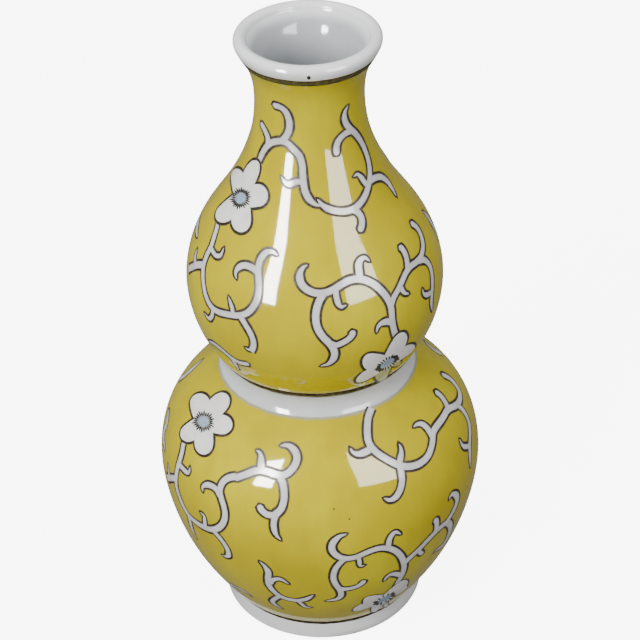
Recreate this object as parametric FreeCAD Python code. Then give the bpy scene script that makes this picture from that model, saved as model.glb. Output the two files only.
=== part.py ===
"""A double gourd vase of glazed porcelain, standing on its foot ring.

A small bulb with a slim neck sits on a larger bulb, and a white collar of slip fills the crease between them.
The vase is built as a potter builds it. A floor disc, a foot ring, the bottom and top of each bulb and a rolled lip
are made apart and luted together at lap joints, at each bulb's widest line, at the waist and under the lip. Two coats
of yellow enamel are then laid between the white foot, collar and lip.

Frame: millimetres, +Z up along the vase's axis, origin at the centre of the foot's resting circle.
Every piece is a solid of revolution, drawn as a closed section in the XZ plane.
"""

import FreeCAD
import Part
import os

# Heights, stacked from the table up
foot_height = 6.0
lower_belly_rise = 48.3
lower_shoulder_rise = 36.7
upper_belly_rise = 29.6
upper_shoulder_rise = 58.3
flare_rise = 19.3
lip_roll_radius = 1.8
white_lip_drop = 3.7

# Outside radii
foot_radius = 31.4
foot_spread = 0.5
lower_belly_radius = 50.0
waist_radius = 27.1
upper_belly_radius = 38.2
neck_radius = 15.7
lip_radius = 20.8

# Walls and coats
wall = 3.6
enamel_thickness = 0.3
floor_thickness = 4.8
foot_recess = 4.0
foot_ring_width = 5.0
foot_edge_round = 0.9

# Joints and the collar of slip
lap_length = 2.4
collar_drop = 2.5
collar_rise = 5.2
collar_fill_share = 0.528

# How each stretch of the outside swells: (share of its rise, share of its change in radius).
# The wall is even up to the given share of the flare, and from there the inside opens in one sweep to the lip.
lower_belly_shares = [(0.0, 0.0), (0.19, 0.316), (0.375, 0.578), (0.58, 0.792), (0.79, 0.937)]
lower_shoulder_shares = [(0.0, 0.0), (0.27, 0.052), (0.547, 0.255), (0.766, 0.591), (0.932, 0.881), (1.0, 1.0)]
upper_belly_shares = [(0.0, 0.0), (0.175, 0.275), (0.422, 0.653), (0.66, 0.883)]
upper_shoulder_shares = [(0.0, 0.0), (0.172, 0.071), (0.345, 0.269), (0.517, 0.567), (0.69, 0.808), (0.862, 0.957)]
flare_shares = [(0.0, 0.0), (0.363, 0.056), (0.677, 0.416), (0.811, 0.704), (0.9, 0.878), (1.0, 1.0)]
even_wall_share = 0.2
offset_samples = 28

# Heights of the named places on the vase
lower_belly_height = foot_height + lower_belly_rise
waist_height = lower_belly_height + lower_shoulder_rise
upper_belly_height = waist_height + upper_belly_rise
neck_height = upper_belly_height + upper_shoulder_rise
lip_height = neck_height + flare_rise
top_height = lip_height + lip_roll_radius
rim_line_height = lip_height - white_lip_drop
even_wall_top = neck_height + even_wall_share * flare_rise
collar_bottom = waist_height - collar_drop
collar_top = waist_height + collar_rise
floor_top = foot_recess + floor_thickness


def at(radius, height):
    """A point of a section, in the XZ plane."""
    return FreeCAD.Vector(radius, 0, height)


def stretch(shares, low, low_radius, high, high_radius):
    """Points of the outside between two named places, from a table of shares."""
    return [at(low_radius + part * (high_radius - low_radius), low + rise * (high - low)) for rise, part in shares]


def curve_through(points, upright_end=False):
    """A smooth curve through points that climb. It may be made to end pointing straight up."""
    upward = FreeCAD.Vector(0, 0, 1)
    curve = Part.BSplineCurve()
    curve.interpolate(
        Points=points,
        Tangents=[upward] * len(points),
        TangentFlags=[False] * (len(points) - 1) + [upright_end],
    )
    return curve


def parameter_at(curve, height):
    """Where a climbing curve crosses a height, by halving."""
    low, high = curve.FirstParameter, curve.LastParameter
    while (low + high) / 2 not in (low, high):
        middle = (low + high) / 2
        if curve.value(middle).z < height:
            low = middle
        else:
            high = middle
    return low


def radius_at(curve, height):
    return curve.value(parameter_at(curve, height)).x


def length_between(curve, low, high):
    """The stretch of a climbing curve between two heights, as an edge."""
    return Part.Edge(curve, parameter_at(curve, low), parameter_at(curve, high))


def inset_points(curve, distance):
    """Points that lie a distance inside a climbing curve, along its normals."""
    points = []
    for step in range(offset_samples):
        share = step / (offset_samples - 1)
        place = curve.FirstParameter + share * (curve.LastParameter - curve.FirstParameter)
        along = curve.tangent(place)[0]
        points.append(curve.value(place) - FreeCAD.Vector(along.z, 0, -along.x) * distance)
    return points


def inset_curve(curve, distance):
    """The curve that lies a distance inside another and reaches past its first and last heights."""
    points = inset_points(curve, distance)
    first, last = points[0] - points[1], points[-1] - points[-2]
    below = points[0] + first * (1 + distance / first.Length)
    above = points[-1] + last * (1 + distance / last.Length)
    return curve_through([below, *points, above])


def closed_section(*parts):
    """A face from edges and corner points in order. Points are joined to what comes next by straight edges."""
    edges = []
    start = last = None
    for piece in parts:
        is_corner = isinstance(piece, FreeCAD.Vector)
        ends = (piece, piece) if is_corner else path_ends(piece, last)
        if last is not None and not last.isEqual(ends[0], Part.Precision.confusion()):
            edges.append(Part.makeLine(last, ends[0]))
        if not is_corner:
            edges.append(piece)
        start = start or ends[0]
        last = ends[1]
    if not last.isEqual(start, Part.Precision.confusion()):
        edges.append(Part.makeLine(last, start))
    return Part.Face(Part.Wire(Part.__sortEdges__(edges)))


def path_ends(edge, last):
    """An edge's two ends, the one nearer to the path so far first."""
    first, second = edge.firstVertex().Point, edge.lastVertex().Point
    if last is None or last.distanceToPoint(first) <= last.distanceToPoint(second):
        return first, second
    return second, first


def spun(section):
    """The ring or disc that a section sweeps round the vase's axis."""
    return section.revolve(at(0, 0), FreeCAD.Vector(0, 0, 1), 360)


def export(name, solid):
    solid.exportStep(os.path.join("parts", name + ".step"))
    print(name, "valid", solid.isValid(), "volume", round(solid.Volume))


# The outside of the finished vase, in two climbing curves that meet in the crease at the waist
lower_outside = curve_through(
    stretch(lower_belly_shares, foot_height, foot_radius, lower_belly_height, lower_belly_radius)
    + stretch(lower_shoulder_shares, lower_belly_height, lower_belly_radius, waist_height, waist_radius)
)
upper_outside = curve_through(
    stretch(upper_belly_shares, waist_height, waist_radius, upper_belly_height, upper_belly_radius)
    + stretch(upper_shoulder_shares, upper_belly_height, upper_belly_radius, neck_height, neck_radius)
    + stretch(flare_shares, neck_height, neck_radius, lip_height, lip_radius),
    upright_end=True,
)

# The porcelain under the enamel
lower_porcelain = inset_curve(lower_outside, enamel_thickness)
upper_porcelain = inset_curve(upper_outside, enamel_thickness)

# The inside of the vase, one climbing curve from below the floor to the inner edge of the lip
lower_inside = inset_points(lower_outside, wall)
upper_inside = [point for point in inset_points(upper_outside, wall) if point.z < even_wall_top]
below_floor = lower_inside[0] + (lower_inside[0] - lower_inside[1]) * (lower_inside[0].z / lower_inside[1].z)
inner_lip_radius = lip_radius - 2 * lip_roll_radius
inside = curve_through(
    [below_floor, *lower_inside, at(waist_radius - wall, waist_height), *upper_inside,
     at(inner_lip_radius, lip_height)],
)


def lap_radius(porcelain, joint):
    """The middle of the wall half a lap below a joint, where its two laps meet."""
    height = joint - lap_length / 2
    return (radius_at(porcelain, height) + radius_at(inside, height)) / 2


def base_disc():
    """The floor, a disc that rests on the foot ring's ledge."""
    edge_radius = radius_at(inside, floor_top)
    return spun(closed_section(
        at(0, foot_recess), at(edge_radius, foot_recess), at(edge_radius, floor_top), at(0, floor_top),
    ))


def foot_ring():
    """The white foot, with a ledge inside for the floor and rounded edges where it meets the table."""
    floor_radius = radius_at(inside, floor_top)
    resting_radius = foot_radius + foot_spread
    inner = resting_radius - foot_ring_width
    ring = spun(closed_section(
        at(inner, 0), at(resting_radius, 0), at(foot_radius, foot_height), at(floor_radius, foot_height),
        at(floor_radius, foot_recess), at(inner, foot_recess),
    ))
    resting_edges = [edge for edge in ring.Edges if edge.BoundBox.ZMax < foot_edge_round and edge.Closed]
    return ring.makeFillet(foot_edge_round, resting_edges)


def lower_bowl():
    """The bottom of the large bulb, luted on the foot ring. Its top edge has a step for the next section's lap."""
    floor_radius = radius_at(inside, floor_top)
    lap = lap_radius(lower_porcelain, lower_belly_height)
    step = lower_belly_height - lap_length
    return spun(closed_section(
        at(floor_radius, foot_height),
        length_between(lower_porcelain, foot_height, lower_belly_height),
        at(lap, lower_belly_height), at(lap, step),
        length_between(inside, floor_top, step),
    ))


def wall_section(porcelain, bottom, top, bottom_lap, top_lap):
    """A section of wall between two joints, with a lap that drops into the one below and a step for the one above."""
    foot_of_lap = bottom - lap_length
    step = top - lap_length
    return spun(closed_section(
        length_between(porcelain, bottom, top),
        at(top_lap, top), at(top_lap, step),
        length_between(inside, foot_of_lap, step),
        at(bottom_lap, foot_of_lap), at(bottom_lap, bottom),
    ))


def lower_shoulder():
    """The top of the large bulb, from its widest line to the waist."""
    belly_lap = lap_radius(lower_porcelain, lower_belly_height)
    waist_lap = lap_radius(lower_porcelain, waist_height)
    return wall_section(lower_porcelain, lower_belly_height, waist_height, belly_lap, waist_lap)


def upper_bowl():
    """The bottom of the small bulb, from the waist to its widest line."""
    waist_lap = lap_radius(lower_porcelain, waist_height)
    belly_lap = lap_radius(upper_porcelain, upper_belly_height)
    return wall_section(upper_porcelain, waist_height, upper_belly_height, waist_lap, belly_lap)


def neck():
    """The top of the small bulb, drawn in to the slim neck."""
    belly_lap = lap_radius(upper_porcelain, upper_belly_height)
    rim_lap = lap_radius(upper_porcelain, rim_line_height)
    return wall_section(upper_porcelain, upper_belly_height, rim_line_height, belly_lap, rim_lap)


def mouth_rim():
    """The white lip, rolled over at the top, with a lap that drops into the neck."""
    lap = lap_radius(upper_porcelain, rim_line_height)
    step = rim_line_height - lap_length
    roll = Part.Arc(
        at(lip_radius, lip_height), at(lip_radius - lip_roll_radius, top_height), at(inner_lip_radius, lip_height),
    ).toShape()
    return spun(closed_section(
        length_between(upper_outside, rim_line_height, lip_height),
        roll,
        length_between(inside, step, lip_height),
        at(lap, step), at(lap, rim_line_height),
    ))


def waist_collar():
    """The white fillet of slip that fills the crease between the bulbs, flush with the enamel at both its edges."""
    bottom_radius = radius_at(lower_outside, collar_bottom)
    top_radius = radius_at(upper_outside, collar_top)
    straight_radius = bottom_radius + (top_radius - bottom_radius) * collar_drop / (collar_drop + collar_rise)
    crease_depth = straight_radius - waist_radius
    face = Part.Arc(
        at(bottom_radius, collar_bottom),
        at(waist_radius + collar_fill_share * crease_depth, waist_height),
        at(top_radius, collar_top),
    ).toShape()
    return spun(closed_section(
        face,
        length_between(upper_porcelain, waist_height, collar_top),
        length_between(lower_porcelain, collar_bottom, waist_height),
    ))


def enamel(outside, porcelain, low, high):
    """A coat of yellow enamel between two heights."""
    return spun(closed_section(length_between(outside, low, high), length_between(porcelain, low, high)))


os.makedirs("parts", exist_ok=True)
export("base_disc", base_disc())
export("foot_ring", foot_ring())
export("lower_bowl", lower_bowl())
export("lower_shoulder", lower_shoulder())
export("upper_bowl", upper_bowl())
export("neck", neck())
export("waist_collar", waist_collar())
export("mouth_rim", mouth_rim())
export("lower_enamel", enamel(lower_outside, lower_porcelain, foot_height, collar_bottom))
export("upper_enamel", enamel(upper_outside, upper_porcelain, collar_top, rim_line_height))
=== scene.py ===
"""Looks of a double gourd vase: glossy yellow enamel over porcelain, painted with white vines and flowers.

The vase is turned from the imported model's own outside. The painting is laid on it as thin slabs of enamel,
whose middle lines are named points of the photograph, carried through its camera on to the vase.
Lengths are in metres, +Z is up along the vase's axis and the camera looks from -Y.
"""

import math

import bpy
import numpy as np
from mathutils import Matrix, Vector


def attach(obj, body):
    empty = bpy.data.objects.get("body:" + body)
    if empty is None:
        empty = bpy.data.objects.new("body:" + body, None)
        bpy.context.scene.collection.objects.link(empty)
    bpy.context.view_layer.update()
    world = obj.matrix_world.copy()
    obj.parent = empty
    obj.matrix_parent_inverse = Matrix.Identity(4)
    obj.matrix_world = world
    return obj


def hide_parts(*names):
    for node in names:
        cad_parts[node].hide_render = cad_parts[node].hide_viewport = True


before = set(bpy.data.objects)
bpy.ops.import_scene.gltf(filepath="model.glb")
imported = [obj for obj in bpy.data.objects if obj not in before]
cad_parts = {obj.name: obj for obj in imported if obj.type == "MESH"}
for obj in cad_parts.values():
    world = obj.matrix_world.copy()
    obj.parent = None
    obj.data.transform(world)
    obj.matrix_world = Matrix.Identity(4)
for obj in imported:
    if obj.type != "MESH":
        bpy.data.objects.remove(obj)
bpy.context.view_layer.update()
mm = 0.001

# The photograph's camera
picture_px = 640
picture_middle = picture_px / 2
focal_px = 2127.0
sensor_width_mm = 36.0
camera_distance = 643.2 * mm
camera_rise = math.radians(35.82)
camera_roll = math.radians(-1.737)
camera_yaw = math.radians(0.0994)
camera_target_height = 102.1 * mm

# Heights on the vase
foot_top = 6.0 * mm
collar_bottom = 88.5 * mm
collar_top = 96.2 * mm
upper_belly_height = 120.6 * mm
rim_line_height = 194.5 * mm
lip_height = 198.2 * mm
lap_length = 2.4 * mm
# Between these heights and radii the lip's inside darkens to painted shade
mouth_shade_bottom = 194.8 * mm
mouth_shade_top = 198.8 * mm
mouth_inner_radius = 17.4 * mm
mouth_outer_radius = 18.6 * mm

# The coats and how finely they are turned
paint_room = 0.12 * mm
coat_thickness = 0.3 * mm
ring_pitch = 0.5 * mm
crease_pitch = 0.1 * mm
crease_length = 4.0 * mm
table_pitch = 0.1 * mm
curve_pitch = 0.35 * mm
inside_step = 8
roll_steps = 18
turn_steps = 256
smooth_angle = math.radians(35)
merge_distance = 0.001 * mm
spin_merge_distance = 0.01 * mm
outward_share = 0.1
height_digits = 3

# Paint: the heights of its layers over the coat, a slab's thickness and how finely each kind is laid
first_layer = 0.015 * mm
layer_step = 0.008 * mm
vine_layers = 3
slab_depth = 0.04 * mm
across_pitch = 0.6 * mm
steps_between_points = 9
dab_rings, dab_columns = 26, 13
stamen_rings, stamen_columns = 5, 3
line_steps, line_columns = 480, 4

# The search for the photograph's points on the vase, and guards against dividing by nothing
search_reach = 130 * mm
search_steps = 700
tiny = 1e-12
shortest_way = 1e-9

# Widths of brush strokes
ink_width = 0.82 * mm
ink_wavering = 0.13 * mm
wavering_length = 2.6 * mm
fine_vine = 1.3 * mm
light_vine = 1.55 * mm
vine = 1.8 * mm
bold_vine = 2.0 * mm
broad_vine = 2.4 * mm
petal_ink = 0.9 * mm
slanted_petal_ink = 0.85 * mm
faint_petal_ink = 0.55 * mm
px_per_mm = 3.3

# Lines round the vase
foot_line_width = 2.9 * mm
foot_wavering = 0.04 * mm
waist_line_drop = 0.7 * mm
waist_line_width = 3.1 * mm
waist_wavering = 0.06 * mm
rim_line_top = 195.8 * mm
rim_line_width = 0.9 * mm
rim_lower_line_share = 0.8
rim_wavering = 0.05 * mm
rim_band_width = 2.3 * mm
band_wavering = 0.03 * mm

# How the brush wavered along a line's bottom and top, as (waves in a turn, share of the wavering, shift)
bottom_waves = [(7, 1.0, 1.3), (17, 0.6, 0.0), (41, 0.5, 0.4)]
top_waves = [(9, 1.0, 0.0), (23, 0.7, 2.1)]

# How a stroke ends, and the shape of a round and a tapered end
OPEN, ROUND, TAPERED = "open", "round", "tapered"
round_tip_share = 0.05
taper_tip_share = 0.1
taper_length_share = 4.4
taper_bend = 0.75

# Vines of the upper bulb, as (width, start, end, points in the photograph)
upper_vines = {
    "stem_to_flower": (vine, OPEN, OPEN, [
        (259.0, 161), (262.5, 153), (267, 146.2), (273, 142), (280, 141)]),
    "small_hook": (vine, OPEN, ROUND, [(268, 145), (267.8, 138), (265, 130.5), (261.0, 122.5)]),
    "big_hook": (vine, OPEN, ROUND, [
        (281, 142), (286.5, 135.5), (289.3, 128), (288.8, 119), (285.5, 111.5), (280, 107), (273, 104.8)]),
    "main_stem": (vine, OPEN, TAPERED, [
        (273, 142), (280, 141), (287, 143), (293, 148.5), (299.5, 156), (302.3, 166), (302.8, 175),
        (303.8, 184), (305.3, 192), (309.5, 199.5), (315, 204), (321, 206)]),
    "left_hook": (light_vine, OPEN, TAPERED, [
        (303, 182), (296.3, 181.8), (289.5, 184.2), (284.8, 182), (281.5, 176.8)]),
    "lower_vine": (vine, OPEN, TAPERED, [
        (218, 223), (216, 231), (211.5, 245.5), (206.5, 256), (203.5, 266), (203, 276), (203.8, 286),
        (206, 296), (210.5, 305.5), (217.5, 311.5), (228, 314.3), (238, 315.5), (246, 313.5), (252, 308.5),
        (256.5, 301), (258.6, 292), (258.8, 283), (258.3, 274), (258.7, 265.5), (261.5, 257.5),
        (266.5, 252.3), (272.3, 251.8), (277.5, 255)]),
    "left_curl": (fine_vine, OPEN, TAPERED, [
        (211, 246), (212.8, 251.3), (216.3, 255.6), (220.8, 255), (223.9, 248)]),
    "far_left_branch": (bold_vine, OPEN, OPEN, [(204, 265), (198, 264.8), (193, 266.5), (188.8, 269)]),
    "far_left_prong": (light_vine, OPEN, TAPERED, [(195, 263), (195.4, 256), (197.3, 249)]),
    "inner_curl": (vine, OPEN, TAPERED, [
        (258.3, 273), (254.5, 269.3), (249.2, 266.4), (243.4, 265.4), (238.2, 267.9), (235.6, 273),
        (236.6, 278.5)]),
    "lower_prong": (fine_vine, OPEN, TAPERED, [(233, 315), (232, 307.3), (228.6, 296.5)]),
    "lower_left_curl": (fine_vine, OPEN, TAPERED, [
        (212.5, 308), (212.3, 315), (209.2, 318.5), (204.6, 313)]),
    "down_branch": (vine, OPEN, OPEN, [
        (239, 314), (244, 322.3), (249.2, 331), (252.8, 339), (253.5, 345.5), (251.3, 351.5)]),
    "down_branch_flick": (fine_vine, OPEN, TAPERED, [(252, 349), (248.5, 349.5), (245.5, 347.5)]),
    "waist_stroke": (light_vine, TAPERED, ROUND, [
        (209, 340.8), (215.5, 344.6), (225, 352.3), (232, 358.1), (238, 361.8), (244, 363.6),
        (248.8, 363.9)]),
    "waist_prong": (fine_vine, OPEN, TAPERED, [(232, 358.5), (235.5, 364.5), (239, 369.5)]),
    "top_right_vine": (vine, TAPERED, TAPERED, [
        (317.5, 199.3), (323, 205.5), (330, 209.4), (338, 211.2), (346, 211.2), (353.5, 208.8),
        (359, 204.5), (363.5, 198.5), (367, 190.5), (369.3, 181), (369.8, 171), (368.3, 160.5), (365, 150),
        (360.8, 141), (355.8, 134), (350.2, 128.8), (346, 123.5), (344.3, 117.3), (345, 111.3),
        (348, 105.5)]),
    "top_right_curl": (vine, OPEN, ROUND, [
        (352, 130.3), (344.8, 133.8), (339.2, 139.6), (336.6, 146), (336.6, 151.8), (338.2, 154.4)]),
    "right_spray": (vine, OPEN, TAPERED, [
        (368.5, 182), (374.5, 178), (381, 177), (387, 181), (392, 188.3), (396.2, 196)]),
    "left_spray": (light_vine, OPEN, TAPERED, [
        (369.5, 186.5), (364.8, 182.5), (361, 177.2), (357.3, 174.3), (353.6, 176.5)]),
    "low_spray": (vine, OPEN, ROUND, [
        (352, 209.4), (357.8, 212.2), (361.4, 218), (361.8, 225), (359.5, 231.5)]),
    "scroll": (bold_vine, TAPERED, OPEN, [
        (307.3, 265), (303, 267.8), (300.2, 272.8), (299.8, 279), (302.7, 285.6), (308.8, 290.6),
        (316.3, 293.1), (325, 292.8), (333.8, 289.2), (342.5, 283.8), (350, 280.2), (358.8, 279),
        (367.5, 281), (376.3, 286), (383.6, 293.2), (388.6, 300.6), (391, 307.5), (391.8, 314.5),
        (392.4, 322), (394.2, 331), (397, 339)]),
    "scroll_prong": (bold_vine, OPEN, TAPERED, [
        (360, 280), (359, 271), (358.6, 264.5), (361, 259.5), (365, 257.8), (369.4, 261)]),
    "scroll_inner_prong": (light_vine, OPEN, TAPERED, [
        (335.5, 289), (336.4, 297), (338.4, 303.8), (341.6, 306.9), (346.3, 305)]),
    "scroll_tail": (bold_vine, OPEN, TAPERED, [
        (325.5, 291), (319.5, 300.5), (316.4, 310), (315.8, 320), (317.8, 328.6), (322.6, 336.4),
        (328.3, 342.2), (332.6, 347.6), (334.6, 353.5), (333, 359.4), (328.3, 363.8), (321, 366)]),
    "tail_curl": (vine, OPEN, ROUND, [
        (330.5, 343.5), (336, 345), (341.3, 343.3), (348.3, 339.2), (352.3, 334.6), (352, 330.4)]),
    "right_branch": (vine, OPEN, ROUND, [
        (391.3, 305), (394, 297), (399, 288), (403, 279), (406.5, 271.5), (411.3, 265.7), (416.9, 261.5),
        (421, 256), (422.8, 248.5), (422.5, 241.5), (420.6, 234.4), (416.8, 227.5), (410.6, 222.6)]),
    "right_prong": (vine, OPEN, ROUND, [
        (407.5, 269), (407, 261.5), (405.3, 254.5), (402.3, 249), (399, 246.4)]),
    "right_arch": (vine, OPEN, TAPERED, [
        (417, 260.8), (424.5, 260), (429.5, 265.3), (431.8, 273.8), (432.3, 285), (431.9, 294),
        (431.4, 302.5), (431.8, 311)]),
    "arch_curl": (light_vine, OPEN, TAPERED, [(431.6, 291.5), (427, 294.8), (423.6, 293.5), (422.3, 289)]),
    "branch_curl": (light_vine, OPEN, TAPERED, [(400, 285), (402.2, 290), (405.2, 293.2), (409, 293.6)]),
    "flower_curl": (bold_vine, OPEN, TAPERED, [
        (392.8, 322.5), (387.3, 321.6), (381.6, 323.2), (377.8, 327.3), (376.6, 332.3)]),
    "far_right_vine": (broad_vine, TAPERED, OPEN, [
        (423, 211.5), (427, 216), (432, 224), (436, 232), (438.5, 240)]),
    "far_left_vine": (broad_vine, OPEN, TAPERED, [
        (200.3, 214), (198, 221.5), (196.8, 229.5), (197.2, 237)]),
}

# Vines of the lower bulb
lower_vines = {
    "stem_from_flower": (bold_vine, OPEN, OPEN, [
        (185.5, 437), (183.3, 445), (181.8, 453), (179.5, 461), (177, 470), (176, 479), (176.7, 487.5),
        (179.5, 497), (183.8, 507), (189.5, 516), (197, 523), (206, 528), (213, 529.5), (219.5, 527.2),
        (223.8, 521.5), (225, 514), (223.7, 506), (221.2, 498), (219.9, 490.5), (222, 483.5), (226.3, 479),
        (231.7, 477), (236.3, 476.7)]),
    "stem_curl": (light_vine, OPEN, TAPERED, [
        (179, 463.5), (182, 467.5), (187.3, 472.5), (189.5, 471), (190, 467)]),
    "edge_branch": (bold_vine, OPEN, OPEN, [(176.5, 478.3), (172, 478), (167.5, 477.5)]),
    "edge_prong": (fine_vine, OPEN, TAPERED, [(169.2, 476), (168.6, 470), (168, 464)]),
    "stem_inner_curl": (vine, OPEN, TAPERED, [
        (219.8, 496), (216.8, 490), (212, 486), (206.5, 484.8), (202.6, 487), (203, 491.5)]),
    "stem_prong": (light_vine, OPEN, TAPERED, [(205.2, 527), (205, 523), (203.9, 516), (200.2, 512)]),
    "stem_outer_curl": (light_vine, OPEN, TAPERED, [(188.5, 515), (190, 521), (192.5, 530), (196.5, 538)]),
    "stem_down": (vine, OPEN, TAPERED, [
        (213.7, 531), (219.5, 537.5), (224.8, 544.5), (228.1, 551), (228.3, 555.5), (225.3, 556.4),
        (222.3, 555)]),
    "middle_vine": (bold_vine, OPEN, TAPERED, [
        (235.5, 478), (245, 474.7), (253, 471.6), (260, 470.3), (268, 471.8), (276, 474.5), (283, 475.3),
        (289.3, 472), (294.3, 466), (296.9, 458.5), (295.3, 451.7), (290.9, 446.9), (286, 445.2),
        (280.5, 445.6)]),
    "middle_prong": (bold_vine, OPEN, TAPERED, [
        (261, 470), (261.3, 462.5), (261, 456), (259.3, 452.3), (256.7, 450.3)]),
    "middle_down": (bold_vine, OPEN, OPEN, [
        (279.5, 475), (282.7, 483), (284, 491), (283.9, 500), (281, 509), (275.5, 514)]),
    "middle_curl": (bold_vine, OPEN, ROUND, [
        (280, 510.5), (274.5, 514.8), (267, 514.3), (261.6, 510), (259.4, 504.8)]),
    "middle_tail": (vine, OPEN, TAPERED, [
        (277, 513), (274.3, 519), (273.8, 527), (276, 534.5), (280.8, 540)]),
    "low_leaf": (bold_vine, TAPERED, TAPERED, [
        (259.7, 561.3), (265, 566.5), (268.2, 572), (268, 578.5), (269, 585), (273.7, 591.3),
        (280.5, 596.3), (289, 599.3), (298, 600.4), (306, 599), (313.5, 595)]),
    "low_leaf_prong": (light_vine, OPEN, TAPERED, [
        (270.5, 583.5), (273, 579.8), (280, 579), (288.7, 583.8)]),
    "low_leaf_curl": (light_vine, OPEN, TAPERED, [
        (280, 596), (274.5, 599), (272.5, 601.6), (275.7, 605), (282.3, 608.7)]),
    "low_leaf_fork": (fine_vine, OPEN, TAPERED, [
        (297.5, 600.2), (301, 603.5), (305.5, 606.8), (311.3, 607.2)]),
    "shoulder_stroke": (bold_vine, TAPERED, OPEN, [
        (202.3, 359.6), (197.5, 364), (193.1, 368), (188.8, 372), (184.4, 375.8), (180.4, 378.7)]),
    "far_left_leaf": (broad_vine, TAPERED, TAPERED, [
        (168.6, 409), (167.8, 416), (166.5, 424), (164.3, 431), (163.5, 438), (164.5, 445), (165, 450)]),
    "foot_leaf": (fine_vine, OPEN, TAPERED, [(231, 584.5), (239, 588.5), (246, 592.3), (251, 596)]),
    "right_vine": (bold_vine, OPEN, ROUND, [
        (371.5, 408), (368.3, 417), (367.3, 426), (367.3, 434), (368.3, 441), (371.5, 447.3), (377, 452.8),
        (384, 457.5), (392, 462), (400, 465.5), (408, 466.6), (415.5, 465.3), (422, 462), (427.5, 456.5),
        (430.9, 449), (432.5, 441), (433, 433.8), (435.2, 428.3), (439.6, 422.3), (444, 416),
        (446.5, 411.3), (450, 408.2), (455, 405.9), (458.7, 402.3), (460.1, 397), (459.2, 391),
        (455.7, 385), (451, 379.6), (446.3, 376.3), (442, 374.9)]),
    "upper_prong": (bold_vine, OPEN, ROUND, [
        (447.8, 409), (446, 403.5), (442.6, 398), (438.8, 394), (435, 391.8)]),
    "left_curl_of_right": (bold_vine, OPEN, TAPERED, [
        (432.3, 437), (429.3, 431.5), (425.8, 426.8), (421.3, 424), (416.5, 424.6), (413.6, 427)]),
    "inner_prong": (vine, OPEN, TAPERED, [
        (399, 464), (400.2, 459), (401.2, 452.5), (400.6, 447.5), (399, 444)]),
    "left_of_right": (bold_vine, OPEN, TAPERED, [
        (371.5, 448), (366, 451.7), (359, 453.9), (353.3, 452.5), (350.4, 448.5)]),
    "right_down": (bold_vine, OPEN, TAPERED, [
        (399.3, 464), (401, 471), (402, 479), (401, 486.5), (398.6, 493), (394.8, 497.7), (389.7, 500),
        (384, 498.3)]),
    "edge_arch": (bold_vine, OPEN, TAPERED, [
        (456, 404.3), (461, 408), (465.8, 414.5), (469, 423), (470, 432), (469.6, 445), (469.8, 456),
        (470, 467)]),
    "edge_arch_curl": (light_vine, OPEN, TAPERED, [(469.3, 446), (463.3, 446.2), (459.4, 439.5)]),
    "shoulder_stroke_right": (broad_vine, TAPERED, OPEN, [
        (424.8, 340.6), (428.3, 344.8), (434, 349.7), (441, 353.6)]),
    "low_scroll": (bold_vine, TAPERED, OPEN, [
        (346.5, 533.8), (338.6, 537), (332.6, 543.5), (332.4, 550.5), (338, 556.3), (346.5, 558.4),
        (356, 557), (365, 553.2), (373.5, 549.8), (382, 548), (390.5, 548.8), (397.5, 552.3),
        (402.3, 558.5), (404, 566), (402.3, 574.5), (398.5, 581), (395.5, 586)]),
    "low_flower_curl": (bold_vine, OPEN, TAPERED, [
        (401, 575), (394.5, 573.8), (388.5, 575.6), (383.8, 580.8)]),
    "low_prong": (vine, OPEN, TAPERED, [
        (388, 548.5), (389.3, 540), (392.5, 534.2), (396, 532.2), (401, 534)]),
    "low_inner_prong": (fine_vine, OPEN, TAPERED, [
        (358.3, 556), (359.3, 561), (360.5, 565.7), (364.8, 565)]),
    "low_tail": (vine, OPEN, TAPERED, [
        (347, 557.5), (341, 562), (335.3, 569), (333.3, 577.5), (335.8, 584.5), (340, 590), (341, 595.4),
        (337, 599), (326, 601)]),
    "low_tail_curl": (vine, OPEN, ROUND, [
        (339.5, 588.5), (346, 589), (356, 586.8), (362.3, 583), (363.3, 580.3)]),
    "low_branch": (broad_vine, OPEN, TAPERED, [
        (404, 563.5), (411, 556.7), (419, 549.3), (426.5, 541.4), (434.7, 532.8), (442, 526), (446.6, 522),
        (449.6, 517.3), (452.6, 512.2), (454.8, 507.5), (456.6, 502.8), (457.2, 498.3), (455.8, 494.9),
        (453, 493.8), (450.3, 496), (448.9, 499.3)]),
    "low_branch_bud": (bold_vine, OPEN, ROUND, [(436, 530.5), (436.8, 525), (436.3, 521), (434, 520.3)]),
    "low_branch_stub": (light_vine, OPEN, ROUND, [(418, 550), (421.3, 553.3), (423.3, 551.5)]),
    "low_edge_vine": (broad_vine, OPEN, TAPERED, [
        (447, 522), (450, 525), (450.2, 529.5), (448.6, 534.5), (446.4, 539.3), (443.8, 543.7),
        (440.2, 547), (436.4, 549.8), (434.2, 552.3)]),
}

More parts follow.
